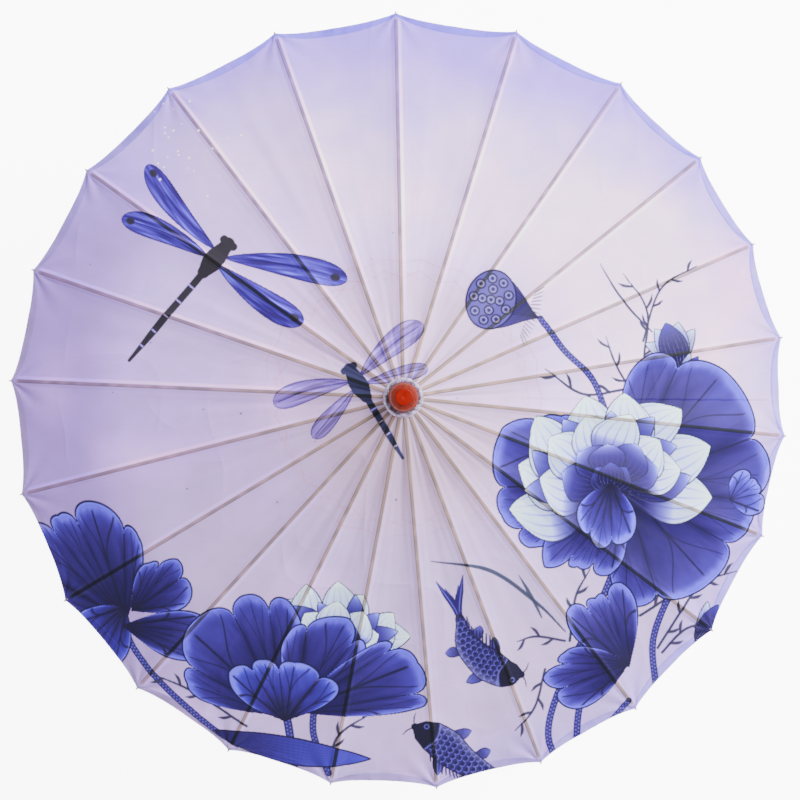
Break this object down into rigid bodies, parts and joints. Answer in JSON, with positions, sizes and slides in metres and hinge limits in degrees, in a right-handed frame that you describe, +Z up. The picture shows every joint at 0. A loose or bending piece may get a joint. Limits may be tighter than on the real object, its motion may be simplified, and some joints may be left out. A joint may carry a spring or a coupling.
{
  "type": "umbrella",
  "caption": "Printed cloth craft umbrella on a split-bamboo frame: hinged ribs and stretchers, a runner that slides down the shaft to fold it, a red lacquered knob and a turned handle.",
  "frame": {"origin": "middle of the flat end of the handle", "axes": "+Z up the shaft to the finial; +X across the open umbrella, to the right of its print"},
  "size_m": [0.8183, 0.8187, 0.55],
  "materials": {
    "bamboo": "split bamboo, satin",
    "stretcher_bamboo": "split bamboo, satin",
    "shaft_bamboo": "polished bamboo",
    "hub_wood": "turned wood, matte",
    "red_lacquer": "turned wood under glossy red lacquer",
    "collar_paper": "glued paper, matte",
    "cloth": null,
    "thread": "cotton thread",
    "wire": "drawn wire",
    "brass": "satin brass",
    "handle_wood": "turned wood, varnished"
  },
  "bodies": {
    "root": {"shaft": "shaft_bamboo", "top_notch": "hub_wood", "notch_wire": "wire", "notch_pin": "bamboo", "finial": "red_lacquer", "finial_collar": "collar_paper", "canopy": "cloth", "thread_ring": "thread", "catch_spring": "bamboo", "catch_pin": "wire", "handle": "handle_wood", "handle_ferrule": "brass", "handle_end_cap": "hub_wood"},
    "runner": {"runner": "hub_wood"},
    "rib_01": {"rib_01": "bamboo"},
    "stretcher_01": {"stretcher_01": "stretcher_bamboo"},
    "rib_02": {"rib_02": "bamboo"},
    "stretcher_02": {"stretcher_02": "stretcher_bamboo"},
    "rib_03": {"rib_03": "bamboo"},
    "stretcher_03": {"stretcher_03": "stretcher_bamboo"},
    "rib_04": {"rib_04": "bamboo"},
    "stretcher_04": {"stretcher_04": "stretcher_bamboo"},
    "rib_05": {"rib_05": "bamboo"},
    "stretcher_05": {"stretcher_05": "stretcher_bamboo"},
    "rib_06": {"rib_06": "bamboo"},
    "stretcher_06": {"stretcher_06": "stretcher_bamboo"},
    "rib_07": {"rib_07": "bamboo"},
    "stretcher_07": {"stretcher_07": "stretcher_bamboo"},
    "rib_08": {"rib_08": "bamboo"},
    "stretcher_08": {"stretcher_08": "stretcher_bamboo"},
    "rib_09": {"rib_09": "bamboo"},
    "stretcher_09": {"stretcher_09": "stretcher_bamboo"},
    "rib_10": {"rib_10": "bamboo"},
    "stretcher_10": {"stretcher_10": "stretcher_bamboo"},
    "rib_11": {"rib_11": "bamboo"},
    "stretcher_11": {"stretcher_11": "stretcher_bamboo"},
    "rib_12": {"rib_12": "bamboo"},
    "stretcher_12": {"stretcher_12": "stretcher_bamboo"},
    "rib_13": {"rib_13": "bamboo"},
    "stretcher_13": {"stretcher_13": "stretcher_bamboo"},
    "rib_14": {"rib_14": "bamboo"},
    "stretcher_14": {"stretcher_14": "stretcher_bamboo"},
    "rib_15": {"rib_15": "bamboo"},
    "stretcher_15": {"stretcher_15": "stretcher_bamboo"},
    "rib_16": {"rib_16": "bamboo"},
    "stretcher_16": {"stretcher_16": "stretcher_bamboo"},
    "rib_17": {"rib_17": "bamboo"},
    "stretcher_17": {"stretcher_17": "stretcher_bamboo"},
    "rib_18": {"rib_18": "bamboo"},
    "stretcher_18": {"stretcher_18": "stretcher_bamboo"},
    "rib_19": {"rib_19": "bamboo"},
    "stretcher_19": {"stretcher_19": "stretcher_bamboo"},
    "rib_20": {"rib_20": "bamboo"},
    "stretcher_20": {"stretcher_20": "stretcher_bamboo"},
    "rib_21": {"rib_21": "bamboo"},
    "stretcher_21": {"stretcher_21": "stretcher_bamboo"},
    "rib_22": {"rib_22": "bamboo"},
    "stretcher_22": {"stretcher_22": "stretcher_bamboo"}
  },
  "joints": [
    {"name": "runner_slide", "type": "slide", "parent": "root", "child": "runner", "axis": [0, 0, -1], "range_m": [0, 0.1887], "deforming": ["canopy", "thread_ring", "catch_spring"]},
    {"name": "rib_hinge_01", "type": "hinge", "parent": "root", "child": "rib_01", "pos_m": [0.01579, 0.00259, 0.512], "axis": [-0.1618, 0.9868, 0], "range_deg": [0, 68]},
    {"name": "stretcher_hinge_01", "type": "hinge", "parent": "rib_01", "child": "stretcher_01", "pos_m": [0.14437, 0.02367, 0.46966], "axis": [0.1618, -0.9868, 0], "range_deg": [0, 136]},
    {"name": "rib_hinge_02", "type": "hinge", "parent": "root", "child": "rib_02", "pos_m": [0.01464, 0.00646, 0.512], "axis": [-0.4037, 0.9149, 0], "range_deg": [0, 68]},
    {"name": "stretcher_hinge_02", "type": "hinge", "parent": "rib_02", "child": "stretcher_02", "pos_m": [0.13384, 0.05906, 0.46966], "axis": [0.4037, -0.9149, 0], "range_deg": [0, 136]},
    {"name": "rib_hinge_03", "type": "hinge", "parent": "root", "child": "rib_03", "pos_m": [0.01245, 0.01005, 0.512], "axis": [-0.6279, 0.7783, 0], "range_deg": [0, 68]},
    {"name": "stretcher_hinge_03", "type": "hinge", "parent": "rib_03", "child": "stretcher_03", "pos_m": [0.11386, 0.09185, 0.46966], "axis": [0.6279, -0.7783, 0], "range_deg": [0, 136]},
    {"name": "rib_hinge_04", "type": "hinge", "parent": "root", "child": "rib_04", "pos_m": [0.00916, 0.01312, 0.512], "axis": [-0.8201, 0.5723, 0], "range_deg": [0, 68]},
    {"name": "stretcher_hinge_04", "type": "hinge", "parent": "rib_04", "child": "stretcher_04", "pos_m": [0.08372, 0.11997, 0.46966], "axis": [0.8201, -0.5723, 0], "range_deg": [0, 136]},
    {"name": "rib_hinge_05", "type": "hinge", "parent": "root", "child": "rib_05", "pos_m": [0.00481, 0.01526, 0.512], "axis": [-0.9536, 0.301, 0], "range_deg": [0, 68]},
    {"name": "stretcher_hinge_05", "type": "hinge", "parent": "rib_05", "child": "stretcher_05", "pos_m": [0.04403, 0.13951, 0.46966], "axis": [0.9536, -0.301, 0], "range_deg": [0, 136]},
    {"name": "rib_hinge_06", "type": "hinge", "parent": "root", "child": "rib_06", "pos_m": [-0.00018, 0.016, 0.512], "axis": [-0.9999, -0.0112, 0], "range_deg": [0, 68]},
    {"name": "stretcher_hinge_06", "type": "hinge", "parent": "rib_06", "child": "stretcher_06", "pos_m": [-0.00164, 0.14629, 0.46966], "axis": [0.9999, 0.0112, 0], "range_deg": [0, 136]},
    {"name": "rib_hinge_07", "type": "hinge", "parent": "root", "child": "rib_07", "pos_m": [-0.00518, 0.01514, 0.512], "axis": [-0.9461, -0.3237, 0], "range_deg": [0, 68]},
    {"name": "stretcher_hinge_07", "type": "hinge", "parent": "rib_07", "child": "stretcher_07", "pos_m": [-0.04736, 0.13842, 0.46966], "axis": [0.9461, 0.3237, 0], "range_deg": [0, 136]},
    {"name": "rib_hinge_08", "type": "hinge", "parent": "root", "child": "rib_08", "pos_m": [-0.00955, 0.01283, 0.512], "axis": [-0.8021, -0.5971, 0], "range_deg": [0, 68]},
    {"name": "stretcher_hinge_08", "type": "hinge", "parent": "rib_08", "child": "stretcher_08", "pos_m": [-0.08736, 0.11735, 0.46966], "axis": [0.8021, 0.5971, 0], "range_deg": [0, 136]},
    {"name": "rib_hinge_09", "type": "hinge", "parent": "root", "child": "rib_09", "pos_m": [-0.01291, 0.00945, 0.512], "axis": [-0.5905, -0.807, 0], "range_deg": [0, 68]},
    {"name": "stretcher_hinge_09", "type": "hinge", "parent": "rib_09", "child": "stretcher_09", "pos_m": [-0.11806, 0.08639, 0.46966], "axis": [0.5905, 0.807, 0], "range_deg": [0, 136]},
    {"name": "rib_hinge_10", "type": "hinge", "parent": "root", "child": "rib_10", "pos_m": [-0.01508, 0.00534, 0.512], "axis": [-0.3334, -0.9428, 0], "range_deg": [0, 68]},
    {"name": "stretcher_hinge_10", "type": "hinge", "parent": "rib_10", "child": "stretcher_10", "pos_m": [-0.13792, 0.04878, 0.46966], "axis": [0.3334, 0.9428, 0], "range_deg": [0, 136]},
    {"name": "rib_hinge_11", "type": "hinge", "parent": "root", "child": "rib_11", "pos_m": [-0.01598, 0.00078, 0.512], "axis": [-0.0491, -0.9988, 0], "range_deg": [0, 68]},
    {"name": "stretcher_hinge_11", "type": "hinge", "parent": "rib_11", "child": "stretcher_11", "pos_m": [-0.14612, 0.00718, 0.46966], "axis": [0.0491, 0.9988, 0], "range_deg": [0, 136]},
    {"name": "rib_hinge_12", "type": "hinge", "parent": "root", "child": "rib_12", "pos_m": [-0.01552, -0.00387, 0.512], "axis": [0.2422, -0.9702, 0], "range_deg": [0, 68]},
    {"name": "stretcher_hinge_12", "type": "hinge", "parent": "rib_12", "child": "stretcher_12", "pos_m": [-0.14194, -0.03543, 0.46966], "axis": [-0.2422, 0.9702, 0], "range_deg": [0, 136]},
    {"name": "rib_hinge_13", "type": "hinge", "parent": "root", "child": "rib_13", "pos_m": [-0.01372, -0.00822, 0.512], "axis": [0.5139, -0.8578, 0], "range_deg": [0, 68]},
    {"name": "stretcher_hinge_13", "type": "hinge", "parent": "rib_13", "child": "stretcher_13", "pos_m": [-0.1255, -0.07519, 0.46966], "axis": [-0.5139, 0.8578, 0], "range_deg": [0, 136]},
    {"name": "rib_hinge_14", "type": "hinge", "parent": "root", "child": "rib_14", "pos_m": [-0.01078, -0.01182, 0.512], "axis": [0.7389, -0.6739, 0], "range_deg": [0, 68]},
    {"name": "stretcher_hinge_14", "type": "hinge", "parent": "rib_14", "child": "stretcher_14", "pos_m": [-0.09858, -0.10809, 0.46966], "axis": [-0.7389, 0.6739, 0], "range_deg": [0, 136]},
    {"name": "rib_hinge_15", "type": "hinge", "parent": "root", "child": "rib_15", "pos_m": [-0.00704, -0.01437, 0.512], "axis": [0.898, -0.4399, 0], "range_deg": [0, 68]},
    {"name": "stretcher_hinge_15", "type": "hinge", "parent": "rib_15", "child": "stretcher_15", "pos_m": [-0.06436, -0.13138, 0.46966], "axis": [-0.898, 0.4399, 0], "range_deg": [0, 136]},
    {"name": "rib_hinge_16", "type": "hinge", "parent": "root", "child": "rib_16", "pos_m": [-0.00285, -0.01574, 0.512], "axis": [0.984, -0.1783, 0], "range_deg": [0, 68]},
    {"name": "stretcher_hinge_16", "type": "hinge", "parent": "rib_16", "child": "stretcher_16", "pos_m": [-0.02608, -0.14395, 0.46966], "axis": [-0.984, 0.1783, 0], "range_deg": [0, 136]},
    {"name": "rib_hinge_17", "type": "hinge", "parent": "root", "child": "rib_17", "pos_m": [0.00151, -0.01593, 0.512], "axis": [0.9956, 0.094, 0], "range_deg": [0, 68]},
    {"name": "stretcher_hinge_17", "type": "hinge", "parent": "rib_17", "child": "stretcher_17", "pos_m": [0.01376, -0.14565, 0.46966], "axis": [-0.9956, -0.094, 0], "range_deg": [0, 136]},
    {"name": "rib_hinge_18", "type": "hinge", "parent": "root", "child": "rib_18", "pos_m": [0.00579, -0.01491, 0.512], "axis": [0.9321, 0.3621, 0], "range_deg": [0, 68]},
    {"name": "stretcher_hinge_18", "type": "hinge", "parent": "rib_18", "child": "stretcher_18", "pos_m": [0.05297, -0.13637, 0.46966], "axis": [-0.9321, -0.3621, 0], "range_deg": [0, 136]},
    {"name": "rib_hinge_19", "type": "hinge", "parent": "root", "child": "rib_19", "pos_m": [0.00971, -0.01272, 0.512], "axis": [0.7949, 0.6067, 0], "range_deg": [0, 68]},
    {"name": "stretcher_hinge_19", "type": "hinge", "parent": "rib_19", "child": "stretcher_19", "pos_m": [0.08876, -0.11629, 0.46966], "axis": [-0.7949, -0.6067, 0], "range_deg": [0, 136]},
    {"name": "rib_hinge_20", "type": "hinge", "parent": "root", "child": "rib_20", "pos_m": [0.01287, -0.0095, 0.512], "axis": [0.5939, 0.8046, 0], "range_deg": [0, 68]},
    {"name": "stretcher_hinge_20", "type": "hinge", "parent": "rib_20", "child": "stretcher_20", "pos_m": [0.1177, -0.08688, 0.46966], "axis": [-0.5939, -0.8046, 0], "range_deg": [0, 136]},
    {"name": "rib_hinge_21", "type": "hinge", "parent": "root", "child": "rib_21", "pos_m": [0.01498, -0.00562, 0.512], "axis": [0.351, 0.9364, 0], "range_deg": [0, 68]},
    {"name": "stretcher_hinge_21", "type": "hinge", "parent": "rib_21", "child": "stretcher_21", "pos_m": [0.13699, -0.05134, 0.46966], "axis": [-0.351, -0.9364, 0], "range_deg": [0, 136]},
    {"name": "rib_hinge_22", "type": "hinge", "parent": "root", "child": "rib_22", "pos_m": [0.01593, -0.00148, 0.512], "axis": [0.0926, 0.9957, 0], "range_deg": [0, 68]},
    {"name": "stretcher_hinge_22", "type": "hinge", "parent": "rib_22", "child": "stretcher_22", "pos_m": [0.14567, -0.01355, 0.46966], "axis": [-0.0926, -0.9957, 0], "range_deg": [0, 136]}
  ],
  "couplings": [
    {"joint": "rib_hinge_01", "follows": "runner_slide", "rad_per_m": 6.289},
    {"joint": "stretcher_hinge_01", "follows": "runner_slide", "rad_per_m": 12.578},
    {"joint": "rib_hinge_02", "follows": "runner_slide", "rad_per_m": 6.289},
    {"joint": "stretcher_hinge_02", "follows": "runner_slide", "rad_per_m": 12.578},
    {"joint": "rib_hinge_03", "follows": "runner_slide", "rad_per_m": 6.289},
    {"joint": "stretcher_hinge_03", "follows": "runner_slide", "rad_per_m": 12.578},
    {"joint": "rib_hinge_04", "follows": "runner_slide", "rad_per_m": 6.289},
    {"joint": "stretcher_hinge_04", "follows": "runner_slide", "rad_per_m": 12.578},
    {"joint": "rib_hinge_05", "follows": "runner_slide", "rad_per_m": 6.289},
    {"joint": "stretcher_hinge_05", "follows": "runner_slide", "rad_per_m": 12.578},
    {"joint": "rib_hinge_06", "follows": "runner_slide", "rad_per_m": 6.289},
    {"joint": "stretcher_hinge_06", "follows": "runner_slide", "rad_per_m": 12.578},
    {"joint": "rib_hinge_07", "follows": "runner_slide", "rad_per_m": 6.289},
    {"joint": "stretcher_hinge_07", "follows": "runner_slide", "rad_per_m": 12.578},
    {"joint": "rib_hinge_08", "follows": "runner_slide", "rad_per_m": 6.289},
    {"joint": "stretcher_hinge_08", "follows": "runner_slide", "rad_per_m": 12.578},
    {"joint": "rib_hinge_09", "follows": "runner_slide", "rad_per_m": 6.289},
    {"joint": "stretcher_hinge_09", "follows": "runner_slide", "rad_per_m": 12.578},
    {"joint": "rib_hinge_10", "follows": "runner_slide", "rad_per_m": 6.289},
    {"joint": "stretcher_hinge_10", "follows": "runner_slide", "rad_per_m": 12.578},
    {"joint": "rib_hinge_11", "follows": "runner_slide", "rad_per_m": 6.289},
    {"joint": "stretcher_hinge_11", "follows": "runner_slide", "rad_per_m": 12.578},
    {"joint": "rib_hinge_12", "follows": "runner_slide", "rad_per_m": 6.289},
    {"joint": "stretcher_hinge_12", "follows": "runner_slide", "rad_per_m": 12.578},
    {"joint": "rib_hinge_13", "follows": "runner_slide", "rad_per_m": 6.289},
    {"joint": "stretcher_hinge_13", "follows": "runner_slide", "rad_per_m": 12.578},
    {"joint": "rib_hinge_14", "follows": "runner_slide", "rad_per_m": 6.289},
    {"joint": "stretcher_hinge_14", "follows": "runner_slide", "rad_per_m": 12.578},
    {"joint": "rib_hinge_15", "follows": "runner_slide", "rad_per_m": 6.289},
    {"joint": "stretcher_hinge_15", "follows": "runner_slide", "rad_per_m": 12.578},
    {"joint": "rib_hinge_16", "follows": "runner_slide", "rad_per_m": 6.289},
    {"joint": "stretcher_hinge_16", "follows": "runner_slide", "rad_per_m": 12.578},
    {"joint": "rib_hinge_17", "follows": "runner_slide", "rad_per_m": 6.289},
    {"joint": "stretcher_hinge_17", "follows": "runner_slide", "rad_per_m": 12.578},
    {"joint": "rib_hinge_18", "follows": "runner_slide", "rad_per_m": 6.289},
    {"joint": "stretcher_hinge_18", "follows": "runner_slide", "rad_per_m": 12.578},
    {"joint": "rib_hinge_19", "follows": "runner_slide", "rad_per_m": 6.289},
    {"joint": "stretcher_hinge_19", "follows": "runner_slide", "rad_per_m": 12.578},
    {"joint": "rib_hinge_20", "follows": "runner_slide", "rad_per_m": 6.289},
    {"joint": "stretcher_hinge_20", "follows": "runner_slide", "rad_per_m": 12.578},
    {"joint": "rib_hinge_21", "follows": "runner_slide", "rad_per_m": 6.289},
    {"joint": "stretcher_hinge_21", "follows": "runner_slide", "rad_per_m": 12.578},
    {"joint": "rib_hinge_22", "follows": "runner_slide", "rad_per_m": 6.289},
    {"joint": "stretcher_hinge_22", "follows": "runner_slide", "rad_per_m": 12.578}
  ]
}
